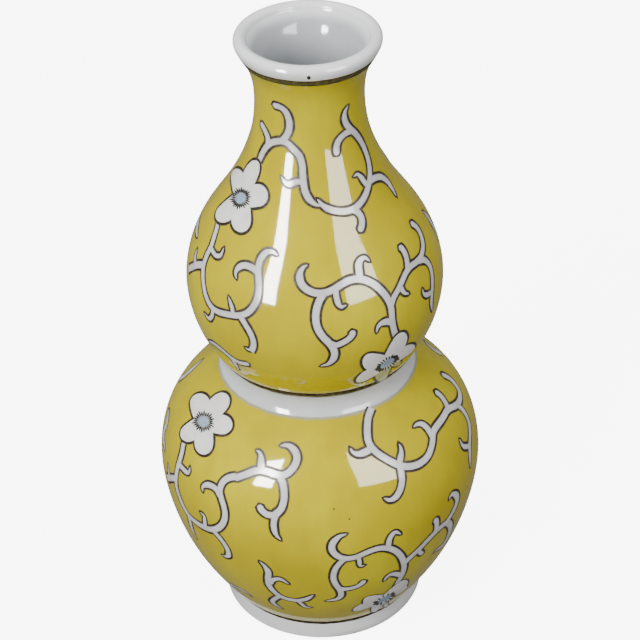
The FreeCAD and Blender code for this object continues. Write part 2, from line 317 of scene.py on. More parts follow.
# Flowers: the middle, the petals as (tip, half width, tint), and the eye as (half length, half width, tilt)
WHITE, GREEN = "white", "green"
flowers = {
    "upper_left_flower": {
        "middle": (240.9, 198.2),
        "petals": [((256.8, 160.5), 7.3, WHITE), ((236.6, 168.8), 6.8, WHITE), ((217.8, 220.6), 8.6, WHITE),
                   ((241.6, 232.2), 9.8, WHITE), ((267.8, 193.6), 11.3, WHITE)],
        "eye": (5.8, 4.7, 60.0), "stamens": 26, "ink": petal_ink,
    },
    "neck_right_flower": {
        "middle": (387.1, 362.9),
        "petals": [((378.0, 380.5), 5.8, GREEN), ((400.4, 361.8), 3.6, GREEN), ((414.4, 345.2), 4.6, WHITE),
                   ((356.2, 381.0), 4.4, WHITE), ((404.6, 332.6), 6.7, WHITE), ((362.4, 361.2), 8.8, WHITE)],
        "eye": (8.6, 2.7, 33.0), "stamens": 22, "ink": slanted_petal_ink,
    },
    "lower_left_flower": {
        "middle": (203.8, 421.6),
        "petals": [((182.3, 438.8), 8.7, WHITE), ((204.2, 454.6), 9.3, WHITE), ((198.3, 393.8), 9.9, WHITE),
                   ((227.3, 394.6), 9.3, WHITE), ((232.4, 426.2), 9.8, WHITE)],
        "eye": (5.5, 5.2, 0.0), "stamens": 25, "ink": petal_ink,
    },
    "low_right_flower": {
        "middle": (384.5, 598.5),
        "petals": [((371.5, 611.2), 3.2, WHITE), ((386.0, 607.0), 2.2, GREEN), ((406.8, 585.8), 2.6, WHITE),
                   ((353.0, 610.0), 2.8, WHITE), ((407.3, 580.4), 4.0, WHITE), ((362.9, 602.2), 5.0, WHITE)],
        "eye": (8.0, 1.9, 27.0), "stamens": 12, "ink": faint_petal_ink,
    },
}
petal_waist_share = 0.84
petal_widest_share = 0.6
petal_tip_bend = 2.3
thinnest_dab_px = 0.04
stamen_inner_share = 0.96
stamen_side_share = 1.6
stamen_end_share = 0.35
stamen_reach_px = 5.7
stamen_reach_shares = (0.8, 0.975, 1.15, 0.8875, 1.0625)
stamen_half_px = 0.95
speck_on_lip = (308.8, 77.8)
specks_on_coat = [(334.0, 509.0), (349.5, 519.0)]
lip_speck_half_px = 1.9
coat_speck_half_px = 0.9

# The far side repeats these, each group turned round the axis by the degrees given, out of the camera's sight
far_groups = [
    (196, ["stem_to_flower", "small_hook", "big_hook", "main_stem", "left_hook", "top_right_vine",
           "top_right_curl", "left_spray", "low_spray", "upper_left_flower", "lower_vine", "left_curl",
           "far_left_branch", "far_left_prong", "inner_curl", "lower_prong", "lower_left_curl", "down_branch",
           "down_branch_flick", "waist_stroke", "waist_prong", "scroll", "scroll_prong", "scroll_inner_prong",
           "scroll_tail", "tail_curl", "flower_curl", "neck_right_flower"]),
    (178, ["stem_from_flower", "stem_curl", "edge_branch", "edge_prong", "stem_inner_curl", "stem_prong",
           "stem_outer_curl", "stem_down"]),
    (130, ["right_vine", "upper_prong", "left_curl_of_right", "inner_prong", "left_of_right", "right_down",
           "edge_arch", "edge_arch_curl"]),
    (185, ["low_leaf", "low_leaf_prong", "low_leaf_curl", "low_leaf_fork"]),
    (210, ["low_scroll", "low_prong", "low_inner_prong", "low_tail", "low_tail_curl", "low_branch",
           "low_branch_bud", "low_branch_stub", "low_edge_vine", "low_flower_curl", "low_right_flower"]),
]
far_turns = {name: math.radians(turn) for turn, names in far_groups for name in names}

# Lengths in the finishes
glaze_relief = 0.2 * mm
paint_relief = 0.1 * mm
bare_foot_top = 0.35 * mm
glazed_foot_bottom = 0.7 * mm
feather_below = 0.9 * mm
feather_above = 0.15 * mm
feather_raggedness = 0.18 * mm

# Colours and gloss of the finishes
glaze_ior = 1.5
ink_gloss = 0.12
deep_yellow, even_yellow, light_yellow = (0.47, 0.375, 0.0), (0.55, 0.455, 0.0), (0.62, 0.535, 0.001)
brushed_yellow = (0.44, 0.34, 0.0)
# The lower coat's edge by the collar: a grey of painted shade, then the white that the enamel fades to
collar_edge_shade, feather_white = (0.34, 0.335, 0.22), (0.60, 0.61, 0.60)
# Painted shade inside the mouth, which the lip's inside darkens to
mouth_painted_shade = (0.42, 0.44, 0.455)
glaze_speck = (0.35, 0.31, 0.26)
foot_light, foot_dark = (0.78, 0.78, 0.77), (0.70, 0.71, 0.70)
biscuit_light, biscuit_dark = (0.68, 0.63, 0.55), (0.56, 0.51, 0.43)
thin_white = (0.42, 0.41, 0.42)
eye_light, eye_dark = (0.34, 0.46, 0.58), (0.24, 0.35, 0.50)

# Lights and stage
left_strip = {"place": (-0.155, -0.19, 0.216), "width": 0.072, "tall": 0.162, "watts": 5.0}
right_window = {"place": (0.178, -0.19, 0.2225), "width": 0.185, "tall": 0.175, "watts": 2.1}
key_softbox = {"place": (-0.75, -1.0, 0.9), "size": 0.7, "watts": 30}
fill_softbox = {"place": (0.9, -0.6, 0.6), "size": 0.9, "watts": 7}
top_softbox = {"place": (-0.1, 0.1, 1.5), "size": 1.2, "watts": 14}
room_strength = 0.2
floor_size = 6.0
floor_glow = 7.0
nearest_view = 10 * mm


def node_side(node, side, low, high):
    """Heights and radii up a node's outer (side 1) or inner (side -1) faces, between two heights."""
    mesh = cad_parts[node].data
    found = {}
    for face in mesh.polygons:
        outward = Vector((face.center.x, face.center.y, 0)).normalized()
        if side * face.normal.dot(outward) > outward_share:
            for corner in face.vertices:
                place = mesh.vertices[corner].co
                height, radius = round(place.z / mm, height_digits), math.hypot(place.x, place.y)
                found[height] = side * max(side * radius, side * found.get(height, radius))
    margin = table_pitch / 2
    inside = [height for height in sorted(found) if low - margin < height * mm < high + margin]
    kept = inside[:1]
    for height in inside[1:-1]:
        if min(height - kept[-1], inside[-1] - height) * mm > curve_pitch:
            kept.append(height)
    kept.append(inside[-1])
    return np.array(kept) * mm, np.array([found[height] for height in kept])


def smooth_curve(across, values, where):
    """A natural cubic curve through points, read at other places."""
    gaps = np.diff(across)
    slopes = np.diff(values) / gaps
    count = len(across)
    system = np.eye(count)
    right = np.zeros(count)
    for spot in range(1, count - 1):
        system[spot, spot - 1] = gaps[spot - 1]
        system[spot, spot] = 2 * (gaps[spot - 1] + gaps[spot])
        system[spot, spot + 1] = gaps[spot]
        right[spot] = 6 * (slopes[spot] - slopes[spot - 1])
    bends = np.linalg.solve(system, right)
    spot = np.clip(np.searchsorted(across, where) - 1, 0, count - 2)
    gap = gaps[spot]
    before = (where - across[spot]) / gap
    after = 1 - before
    straight = after * values[spot] + before * values[spot + 1]
    bulge = (after**3 - after) * bends[spot] + (before**3 - before) * bends[spot + 1]
    return straight + bulge * gap * gap / 6


def outside_table():
    """Radius of the finished outside at close heights. The lower coat is drawn in to leave room for paint."""
    heights = np.arange(foot_top, lip_height, table_pitch)
    radii = np.zeros(len(heights))
    stretches = [
        ("lower_enamel", foot_top, collar_bottom),
        ("waist_collar", collar_bottom, collar_top),
        ("upper_enamel", collar_top, rim_line_height),
        ("mouth_rim", rim_line_height, lip_height),
    ]
    for node, low, high in stretches:
        inside = (heights >= low) & (heights <= high)
        radii[inside] = smooth_curve(*node_side(node, 1, low, high), heights[inside])
    belly = np.clip((heights - foot_top) / (collar_bottom - foot_top), 0, 1)
    return heights, radii - paint_room * np.sin(math.pi * belly) ** 2


table_heights, table_radii = outside_table()
table_slopes = np.gradient(table_radii, table_heights)


def radius_at(height):
    return np.interp(height, table_heights, table_radii)


def slope_at(height):
    return np.interp(height, table_heights, table_slopes)


def on_vase(angle, height, lift):
    """Points over the outside of the vase, lifted along its normal."""
    slope = slope_at(height)
    length = np.sqrt(1 + slope * slope)
    radius = radius_at(height) + lift / length
    return np.stack([radius * np.cos(angle), radius * np.sin(angle), height - slope * lift / length], -1)


def camera_axes():
    """The camera's place and its right, up and forward directions."""
    place = np.array([0, -camera_distance * math.cos(camera_rise),
                      camera_target_height + camera_distance * math.sin(camera_rise)])
    level = np.array([1.0, 0, 0])
    ahead = np.array([0, math.cos(camera_rise), -math.sin(camera_rise)])
    up = np.cross(level, ahead)
    forward = math.cos(camera_yaw) * ahead + math.sin(camera_yaw) * level
    side = math.cos(camera_yaw) * level - math.sin(camera_yaw) * ahead
    right = math.cos(camera_roll) * side + math.sin(camera_roll) * up
    top = math.cos(camera_roll) * up - math.sin(camera_roll) * side
    return place, right, top, forward


def seen_at(points):
    """Where the photograph's points lie on the vase, as angles and heights. One off it takes its edge."""
    place, right, top, forward = camera_axes()
    points = np.asarray(points, float).reshape(-1, 2)
    rays = (forward + (points[:, :1] - picture_middle) / focal_px * right
            - (points[:, 1:] - picture_middle) / focal_px * top)
    reach = np.linspace(camera_distance - search_reach, camera_distance + search_reach, search_steps)
    spots = place + reach[None, :, None] * rays[:, None, :]
    outside = np.hypot(spots[..., 0], spots[..., 1]) - radius_at(spots[..., 2])
    outside[(spots[..., 2] < foot_top) | (spots[..., 2] > lip_height)] = 1
    entering = (outside[:, 1:] <= 0) & (outside[:, :-1] > 0)
    hit = entering.any(1)
    last_out = np.where(hit, entering.argmax(1), outside.argmin(1))
    row = np.arange(len(points))
    before = outside[row, last_out]
    after = outside[row, np.minimum(last_out + 1, len(reach) - 1)]
    share = np.where(hit & (before < 1), before / np.maximum(before - after, tiny), 0)
    span = reach[1] - reach[0]
    found = place + (reach[last_out] + share * span)[:, None] * rays
    angle = np.arctan2(found[:, 1], found[:, 0])
    return np.where(angle > math.pi / 2, angle - 2 * math.pi, angle), found[:, 2]


def rounded_line(points):
    """A smooth line through points, by the mean slope at each."""
    points = np.asarray(points, float)
    ends = np.vstack([2 * points[0] - points[1], points, 2 * points[-1] - points[-2]])
    line = []
    for spot in range(1, len(ends) - 2):
        a, b, c, d = ends[spot - 1:spot + 3]
        for share in np.arange(steps_between_points) / steps_between_points:
            line.append(0.5 * (2 * b + (c - a) * share + (2 * a - 5 * b + 4 * c - d) * share**2
                               + (3 * b - a - 3 * c + d) * share**3))
    return np.vstack([line, points[-1]])


class Paint:
    """Thin closed slabs of one colour, gathered to become one piece."""

    def __init__(self):
        self.corners = []
        self.faces = []
        self.edge_distance = []

    def add_slab(self, angle, height, lift, edge_distance, closed=False, far_turn=None):
        """A slab from a grid of places, along by across, its border folded down into the coat. A far turn
        lays a second one on the far side."""
        if far_turn:
            self.add_slab(angle + far_turn, height, lift, edge_distance)
        top = on_vase(angle, height, lift)
        rim = on_vase(angle[:, [-1, 0]], height[:, [-1, 0]], lift - slab_depth)
        rings = np.concatenate([top, rim], 1)
        distance = np.concatenate([edge_distance, edge_distance[:, [-1, 0]]], 1)
        along, round_it = rings.shape[:2]
        start = len(self.corners)
        self.corners.extend(map(tuple, rings.reshape(-1, 3)))
        self.edge_distance.extend(distance.ravel())
        for ring in range(along if closed else along - 1):
            this = start + ring * round_it
            other = start + (ring + 1) % along * round_it
            for corner in range(round_it):
                after = (corner + 1) % round_it
                self.faces.append((this + corner, this + after, other + after, other + corner))
        if not closed:
            self.faces.append(tuple(start + corner for corner in range(round_it)))
            self.faces.append(tuple(start + (along - 1) * round_it + corner for corner in range(round_it)))

    def piece(self, name, material):
        """All the slabs as one piece of the vase, with faces outward."""
        mesh = bpy.data.meshes.new(name)
        mesh.from_pydata(self.corners, [], self.faces)
        distance = mesh.attributes.new("edge_distance", "FLOAT", "POINT")
        distance.data.foreach_set("value", np.array(self.edge_distance, np.float32))
        piece = opened(mesh)
        bpy.ops.mesh.normals_make_consistent(inside=False)
        finished(piece, material)


def opened(mesh):
    """A mesh as a new object, the only one selected, open in edit mode with all of it selected."""
    piece = bpy.data.objects.new(mesh.name, mesh)
    bpy.context.scene.collection.objects.link(piece)
    bpy.ops.object.select_all(action="DESELECT")
    piece.select_set(True)
    bpy.context.view_layer.objects.active = piece
    bpy.ops.object.mode_set(mode="EDIT")
    bpy.ops.mesh.select_all(action="SELECT")
    return piece


def finished(piece, material):
    """Closes an opened piece, smooths it and gives it its material, body and slot."""
    bpy.ops.object.mode_set(mode="OBJECT")
    bpy.ops.object.shade_smooth_by_angle(angle=smooth_angle)
    piece.data.materials.append(material)
    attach(piece, "root")


def stroke_slab(paint, stroke, layer, far_turn, spread=0.0):
    """One brush stroke. Spread widens and lengthens it, for the ink that shows round its edge."""
    width, start, end, points = stroke
    angle, height = seen_at(points)
    middle_radius = float(np.mean(radius_at(height)))
    line = rounded_line(np.stack([angle * middle_radius, height], -1))
    if start != OPEN:
        line = np.vstack([line[0] - spread * unit(line[1] - line[0]), line])
    if end != OPEN:
        line = np.vstack([line, line[-1] + spread * unit(line[-1] - line[-2])])
    angle, height = line[:, 0] / middle_radius, line[:, 1]
    radius = radius_at(height)
    stretch = np.sqrt(1 + slope_at(height) ** 2)
    round_way = np.gradient(angle) * radius
    up_way = np.gradient(height) * stretch
    length = np.hypot(round_way, up_way) + tiny
    travel = np.concatenate([[0], np.cumsum((length[1:] + length[:-1]) / 2)])
    left = travel[-1] - travel
    half = np.full(len(line), width / 2)
    if start == TAPERED:
        half = np.minimum(half, end_shape(np.maximum(travel - spread, 0), start, width / 2))
    if end == TAPERED:
        half = np.minimum(half, end_shape(np.maximum(left - spread, 0), end, width / 2))
    if spread:
        margin = spread + ink_wavering * np.sin(travel / wavering_length + layer * 2)
        if start == TAPERED:
            margin = np.minimum(margin, end_shape(travel, ROUND, spread))
        if end == TAPERED:
            margin = np.minimum(margin, end_shape(left, ROUND, spread))
        half = half + margin
    if start == ROUND:
        half = np.minimum(half, end_shape(travel, ROUND, width / 2 + spread))
    if end == ROUND:
        half = np.minimum(half, end_shape(left, ROUND, width / 2 + spread))
    count = 2 * max(2, math.ceil(width / across_pitch)) + 1
    across = np.linspace(-1, 1, count)[None, :] * half[:, None]
    grid_angle = angle[:, None] - across * (up_way / length / radius)[:, None]
    grid_height = height[:, None] + across * (round_way / length / stretch)[:, None]
    lift = first_layer + layer * layer_step
    paint.add_slab(grid_angle, grid_height, lift, (half[:, None] - np.abs(across)) / mm, far_turn=far_turn)


def unit(step):
    return step / max(float(np.hypot(*step)), tiny)


def end_shape(distance, kind, half):
    """The most half width that a round or tapered stroke may have at a distance from its end."""
    if kind == ROUND:
        inside = np.minimum(distance, half)
        return np.maximum(np.sqrt(np.maximum(half**2 - (half - inside) ** 2, 0)), round_tip_share * half)
    reached = np.clip(distance / (taper_length_share * half), 0, 1) ** taper_bend
    return half * (taper_tip_share + (1 - taper_tip_share) * reached)


def widened(angle, height, spread):
    """A grid of places on the vase with its border moved outward, for the ink that shows round a petal."""
    radius = float(radius_at(height).mean())
    stretch = float(np.sqrt(1 + slope_at(height) ** 2).mean())
    flat = np.stack([angle * radius, height * stretch], -1)
    border = np.concatenate([flat[:, 0], flat[::-1, -1]])
    after, before = np.roll(border, -1, 0), np.roll(border, 1, 0)
    outward = np.stack([(after - before)[:, 1], -(after - before)[:, 0]], -1)
    outward /= np.maximum(np.hypot(outward[:, 0], outward[:, 1]), shortest_way)[:, None]
    area = float((border[:, 0] * after[:, 1] - after[:, 0] * border[:, 1]).sum())
    border = border + math.copysign(spread, area) * outward
    left, right = border[:len(flat)], border[len(flat):][::-1]
    share = np.linspace(0, 1, flat.shape[1])[None, :, None]
    flat = left[:, None] * (1 - share) + right[:, None] * share
    return flat[..., 0] / radius, flat[..., 1] / stretch


def dab_slab(paint, start, end, half_px, shape, layer, far_turn=None, spread=0.0,
             rings=dab_rings, columns=dab_columns):
    """A dab of paint between two points of the photograph. Shape gives its half width along it, as shares."""
    start, end = np.array(start, float), np.array(end, float)
    way = unit(end - start)
    side = np.array([-way[1], way[0]])
    share = 0.5 - 0.5 * np.cos(np.linspace(0, math.pi, rings))
    half = np.maximum(shape(share) * half_px, thinnest_dab_px)
    across = np.linspace(-1, 1, columns)
    spots = (start + share[:, None, None] * (end - start)
             + (half[:, None] * across[None, :])[..., None] * side)
    angle, height = (values.reshape(rings, columns) for values in seen_at(spots.reshape(-1, 2)))
    if spread:
        angle, height = widened(angle, height, spread)
    lift = first_layer + layer * layer_step
    distance = (half / px_per_mm + spread / mm)[:, None] * (1 - np.abs(across))[None, :]
    paint.add_slab(angle, height, lift, distance, far_turn=far_turn)


def petal_shape(share):
    """A petal's half width: a waist at the flower's middle, widest past halfway, and a round tip."""
    swelling = petal_waist_share + (1 - petal_waist_share) * np.sin(
        np.clip(share / petal_widest_share, 0, 1) * math.pi / 2)
    past = np.clip((share - petal_widest_share) / (1 - petal_widest_share), 0, 1)
    return swelling * np.sqrt(1 - past**petal_tip_bend)


def oval_shape(share):
    return np.sqrt(np.maximum(1 - (2 * share - 1) ** 2, 0))


def stamen_shape(share):
    return stamen_end_share + (1 - stamen_end_share) * np.sin(share * math.pi)


def wavered(angle, waves, wavering):
    """How far a line's edge strays up or down round the vase."""
    return wavering * sum(part * np.sin(count * angle + shift) for count, part, shift in waves)


def ring_slab(paint, low, high, layer, wavering):
    """A line painted round the vase between two heights, a little uneven where the brush wavered."""
    angle = np.linspace(0, 2 * math.pi, line_steps, endpoint=False)
    bottom = low + wavered(angle, bottom_waves, wavering)
    top = high + wavered(angle, top_waves, wavering)
    share = np.linspace(0, 1, line_columns)
    height = bottom[:, None] * (1 - share) + top[:, None] * share
    lift = first_layer + layer * layer_step
    distance = (high - low) / mm * np.minimum(share, 1 - share)[None, :] * np.ones((line_steps, 1))
    paint.add_slab(np.repeat(angle[:, None], line_columns, 1), height, lift, distance, closed=True)


# Materials

def plug(material, value, socket):
    """Gives a socket a number, a colour, a vector or another node's output."""
    if isinstance(value, (int, float)):
        socket.default_value = value
    elif isinstance(value, tuple):
        socket.default_value = (*value, 1) if socket.type == "RGBA" else value
    else:
        material.node_tree.links.new(value, socket)


def new_node(material, kind, sockets, **settings):
    """A node with its settings, and its sockets filled by name or number."""
    node = material.node_tree.nodes.new(kind)
    for name, value in settings.items():
        setattr(node, name, value)
    for name, value in sockets.items():
        plug(material, value, node.inputs[name])
    return node


def new_material(name, roughness):
    """A material with a principled shader, and the places that its pattern reads."""
    material = bpy.data.materials.new(name)
    material.use_nodes = True
    shader = material.node_tree.nodes["Principled BSDF"]
    shader.inputs["Roughness"].default_value = roughness
    shader.inputs["IOR"].default_value = glaze_ior
    places = new_node(material, "ShaderNodeTexCoord", {})
    return material, shader, places.outputs["Object"]


def noise(material, places, scale, detail=3.0, roughness=0.55, stretch=None):
    """Cloudy variation with a grain size given as a scale per metre."""
    if stretch:
        mapping = new_node(material, "ShaderNodeMapping", {"Vector": places, "Scale": stretch})
        places = mapping.outputs["Vector"]
    cloud = new_node(material, "ShaderNodeTexNoise",
                     {"Vector": places, "Scale": scale, "Detail": detail, "Roughness": roughness})
    return cloud.outputs["Fac"]


def ramp(material, value, stops):
    """Colours along a value, as (place, colour) pairs."""
    node = new_node(material, "ShaderNodeValToRGB", {"Fac": value})
    line = node.color_ramp
    line.elements[0].position, line.elements[0].color = stops[0][0], (*stops[0][1], 1)
    line.elements[1].position, line.elements[1].color = stops[-1][0], (*stops[-1][1], 1)
    for place, colour in stops[1:-1]:
        line.elements.new(place).color = (*colour, 1)
    return node.outputs["Color"]


def carried(material, value, old, new, smooth=False):
    """A value carried from an old range to a new one."""
    sockets = {"Value": value, "From Min": old[0], "From Max": old[1], "To Min": new[0], "To Max": new[1]}
    node = new_node(material, "ShaderNodeMapRange", sockets,
                    interpolation_type="SMOOTHSTEP" if smooth else "LINEAR")
    return node.outputs["Result"]


def mixed(material, share, first, second):
    """Two colours mixed by a share."""
    node = new_node(material, "ShaderNodeMix", {0: share, 6: first, 7: second}, data_type="RGBA")
    return node.outputs[2]


def maths(material, kind, first, second):
    return new_node(material, "ShaderNodeMath", {0: first, 1: second}, operation=kind).outputs[0]


def height_of(material, places):
    return new_node(material, "ShaderNodeSeparateXYZ", {"Vector": places}).outputs["Z"]


def axis_distance(material, places):
    flat = new_node(material, "ShaderNodeVectorMath", {0: places, 1: (1, 1, 0)}, operation="MULTIPLY")
    length = new_node(material, "ShaderNodeVectorMath", {0: flat.outputs["Vector"]}, operation="LENGTH")
    return length.outputs["Value"]


def stroke_edge_distance(material):
    """How far a place in the paint is from the edge of its stroke, in millimetres."""
    return new_node(material, "ShaderNodeAttribute", {}, attribute_name="edge_distance").outputs["Fac"]


def bumped(material, shader, value, strength, depth):
    node = new_node(material, "ShaderNodeBump", {"Strength": strength, "Distance": depth, "Height": value})
    plug(material, node.outputs["Normal"], shader.inputs["Normal"])


def yellow_enamel(feather=None):
    """Glossy yellow enamel, mottled by the brush. Between a feather's two heights it fades to white, through
    a grey of painted shade at the collar's lower edge.
    """
    material, shader, places = new_material("yellow_enamel", 0.065)
    cloud = noise(material, places, scale=26, detail=2)
    wash = noise(material, places, scale=140, detail=4, stretch=(1, 1, 0.35))
    colour = ramp(material, cloud, [(0.3, deep_yellow), (0.52, even_yellow), (0.72, light_yellow)])
    colour = mixed(material, carried(material, wash, (0.4, 0.75), (0, 0.5)), colour, brushed_yellow)
    if feather:
        low, high = feather
        middle = (low + high) / 2
        ragged = noise(material, places, scale=420, detail=3)
        stray = carried(material, ragged, (0.2, 0.8), (-feather_raggedness, feather_raggedness))
        edge = maths(material, "ADD", height_of(material, places), stray)
        edge_shaded = carried(material, edge, (low, middle), (0, 1), smooth=True)
        whitened = carried(material, edge, (middle, high), (0, 1), smooth=True)
        colour = mixed(material, whitened, mixed(material, edge_shaded, colour, collar_edge_shade), feather_white)
    plug(material, colour, shader.inputs["Base Color"])
    fine = noise(material, places, scale=900, detail=2)
    plug(material, carried(material, fine, (0.3, 0.7), (0.045, 0.085)), shader.inputs["Roughness"])
    bumped(material, shader, noise(material, places, scale=160, detail=2), 0.05, glaze_relief)
    return material


def porcelain(name, light, dark, roughness=0.1, inside=None):
    """Clear glaze over white porcelain, with faint clouds. Inside the mouth it may darken to painted shade,
    more so deeper down and nearer the axis.
    """
    material, shader, places = new_material(name, roughness)
    cloud = noise(material, places, scale=60, detail=3)
    colour = ramp(material, cloud, [(0.3, dark), (0.7, light)])
    if inside:
        height, distance = height_of(material, places), axis_distance(material, places)
        deep = carried(material, height, (mouth_shade_bottom, mouth_shade_top), (1, 0), smooth=True)
        inward = carried(material, distance, (mouth_inner_radius, mouth_outer_radius), (1, 0))
        colour = mixed(material, maths(material, "MULTIPLY", deep, inward), colour, inside)
    specks = noise(material, places, scale=2600, detail=1)
    colour = mixed(material, carried(material, specks, (0.76, 0.8), (0, 0.35)), colour, glaze_speck)
    plug(material, colour, shader.inputs["Base Color"])
    fine = noise(material, places, scale=700, detail=2)
    uneven = carried(material, fine, (0.3, 0.7), (roughness * 0.7, roughness * 1.3))
    plug(material, uneven, shader.inputs["Roughness"])
    bumped(material, shader, noise(material, places, scale=220, detail=2), 0.04, glaze_relief)
    return material


def foot_porcelain():
    """The foot: glazed at its side, bare and matt where it stands."""
    material, shader, places = new_material("foot_porcelain", 0.16)
    cloud = noise(material, places, scale=90, detail=3)
    glazed = ramp(material, cloud, [(0.3, foot_dark), (0.7, foot_light)])
    height = height_of(material, places)
    bare = carried(material, height, (bare_foot_top, glazed_foot_bottom), (1, 0), smooth=True)
    grain = noise(material, places, scale=3000, detail=3)
    biscuit = ramp(material, grain, [(0.3, biscuit_dark), (0.7, biscuit_light)])
    plug(material, mixed(material, bare, glazed, biscuit), shader.inputs["Base Color"])
    plug(material, carried(material, bare, (0, 1), (0.14, 0.7)), shader.inputs["Roughness"])
    bumped(material, shader, grain, 0.08, paint_relief)
    return material


def white_paint(name, light, dark, worn_share):
    """Thick enamel in white or another pale colour, greyer where it is thin at the edge of a stroke."""
    material, shader, places = new_material(name, 0.16)
    cloud = noise(material, places, scale=260, detail=4)
    colour = ramp(material, cloud, [(0.32, dark), (0.68, light)])
    worn = carried(material, stroke_edge_distance(material), (0.0, 0.55), (worn_share, 0), smooth=True)
    plug(material, mixed(material, worn, colour, thin_white), shader.inputs["Base Color"])
    bumped(material, shader, cloud, 0.12, paint_relief)
    return material


def ink(name, core, thin, gloss=ink_gloss):
    """Dark outline: its core colour, and thin and brown at its border and where the brush ran dry."""
    material, shader, places = new_material(name, 0.35)
    shader.inputs["Specular IOR Level"].default_value = gloss
    cloud = noise(material, places, scale=620, detail=4, roughness=0.65)
    border = carried(material, stroke_edge_distance(material), (0.0, 0.3), (0.3, -0.05), smooth=True)
    share = maths(material, "ADD", cloud, border)
    colour = ramp(material, share, [(0.42, core), (0.62, tuple(3 * part for part in core)), (0.86, thin)])
    plug(material, colour, shader.inputs["Base Color"])
    bumped(material, shader, cloud, 0.1, paint_relief)
    return material


def eye_blue():
    """Pale blue enamel in the flowers' eyes."""
    material, shader, places = new_material("eye_blue", 0.16)
    cloud = noise(material, places, scale=700, detail=3)
    plug(material, ramp(material, cloud, [(0.3, eye_dark), (0.7, eye_light)]), shader.inputs["Base Color"])
    return material


# Pieces

def smooth_copy(node, material):
    """A CAD node's own shape with its triangles merged and its faces smooth."""
    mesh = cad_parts[node].data.copy()
    mesh.name = node + "_glazed"
    mesh.materials.clear()
    piece = opened(mesh)
    bpy.ops.mesh.remove_doubles(threshold=merge_distance)
    finished(piece, material)
    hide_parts(node)


def turned(name, node, section, material):
    """A node's closed half section, as (radius, height) points in order, spun round the vase's axis."""
    mesh = bpy.data.meshes.new(name)
    count = len(section)
    edges = [(corner, (corner + 1) % count) for corner in range(count)]
    mesh.from_pydata([(radius, 0, height) for radius, height in section], edges, [])
    piece = opened(mesh)
    bpy.ops.mesh.spin(steps=turn_steps, angle=2 * math.pi, center=(0, 0, 0), axis=(0, 0, 1))
    bpy.ops.mesh.select_all(action="SELECT")
    bpy.ops.mesh.remove_doubles(threshold=spin_merge_distance)
    bpy.ops.mesh.normals_make_consistent(inside=False)
    finished(piece, material)
    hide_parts(node)


def evenly(low, high, pitch=ring_pitch):
    return np.linspace(low, high, int((high - low) / pitch) + 1)


def side_points(node, side, low, high):
    """Evenly spaced points up one side of a node's wall."""
    heights = evenly(low, high)
    return list(zip(smooth_curve(*node_side(node, side, low, high), heights), heights))


def turned_neck():
    """The top half of the small bulb, with the steps for its joints."""
    low, high = upper_belly_height, rim_line_height
    outside = side_points("neck", 1, low, high)
    inside = side_points("neck", -1, low - lap_length, high - lap_length)
    top_lap = (outside[-1][0] + inside[-1][0]) / 2
    low_lap = (outside[0][0] + inside[0][0]) / 2
    top_step = [(top_lap, high), (top_lap, high - lap_length)]
    low_step = [(low_lap, low - lap_length), (low_lap, low)]
    turned("glazed_neck", "neck", outside + top_step + inside[::-1] + low_step, shaded_body_material)


def turned_lip():
    """The rolled lip, with the lap that drops into the neck."""
    outside = side_points("mouth_rim", 1, rim_line_height, lip_height)
    inside = side_points("mouth_rim", -1, rim_line_height - lap_length, lip_height)
    middle = (outside[-1][0] + inside[-1][0]) / 2
    roll = outside[-1][0] - middle
    angles = np.linspace(0, math.pi, roll_steps)[1:-1]
    top = [(middle + roll * math.cos(angle), lip_height + roll * math.sin(angle)) for angle in angles]
    lap_radius = (outside[0][0] + inside[0][0]) / 2
    lap = [(lap_radius, rim_line_height - lap_length), (lap_radius, rim_line_height)]
    turned("glazed_lip", "mouth_rim", outside + top + inside[::-1] + lap, lip_material)


def coat(name, node, low, high, material):
    """A coat of enamel between two heights, its outside turned finely, most of all near its ends."""
    low_end = evenly(low, low + crease_length, crease_pitch)
    high_end = evenly(high - crease_length, high, crease_pitch)
    between = evenly(low + crease_length, high - crease_length)[1:-1]
    heights = np.concatenate([low_end, between, high_end])
    radii = radius_at(heights)
    slopes = np.gradient(radii, heights)
    outside = list(zip(radii, heights))
    inner = radii - coat_thickness * np.sqrt(1 + slopes * slopes)
    inside = list(zip(inner[::-inside_step], heights[::-inside_step]))
    turned(name, node, outside + inside, material)


def paint_vines(name, vines):
    """All the vines of a bulb: the ink of every stroke first, and the white over it, so joints stay open."""
    outline, white = Paint(), Paint()
    for turn, (stroke_name, stroke) in enumerate(vines.items()):
        far_turn = far_turns.get(stroke_name)
        layer = turn % vine_layers
        stroke_slab(outline, stroke, layer, far_turn, spread=ink_width)
        stroke_slab(white, stroke, vine_layers + layer, far_turn)
    outline.piece(name + "_outlines", ink_material)
    white.piece(name, vine_material)


def paint_petals(flower, layer, far_turn, outline, white, green):
    """The ink of all a flower's petals, and the petals over it so that they run together."""
    petals = flower["petals"]
    for turn, (tip, half_px, tint) in enumerate(petals):
        colour = green if tint == GREEN else white
        dab = (flower["middle"], tip, half_px, petal_shape)
        dab_slab(outline, *dab, layer + turn, far_turn, spread=flower["ink"])
        dab_slab(colour, *dab, layer + len(petals) + turn, far_turn)


def paint_eye(flower, layer, far_turn, eye, stamens):
    """A flower's oval eye, and its stamens round it."""
    middle = np.array(flower["middle"])
    long, short, tilt = flower["eye"]
    tilt = math.radians(tilt)
    along = np.array([math.cos(tilt), -math.sin(tilt)])
    side = np.array([math.sin(tilt), math.cos(tilt)])
    dab_slab(eye, middle - along * long, middle + along * long, short, oval_shape, layer, far_turn)
    flat = min(1, stamen_side_share * short / long)
    for turn in range(flower["stamens"]):
        angle = 2 * math.pi * turn / flower["stamens"]
        way = along * math.cos(angle) + side * math.sin(angle) * flat
        ring = along * long * math.cos(angle) + side * short * math.sin(angle)
        reach = stamen_reach_px * stamen_reach_shares[turn % len(stamen_reach_shares)]
        start = middle + ring * stamen_inner_share
        dab_slab(stamens, start, start + way * reach, stamen_half_px, stamen_shape, layer + 1, far_turn,
                 rings=stamen_rings, columns=stamen_columns)


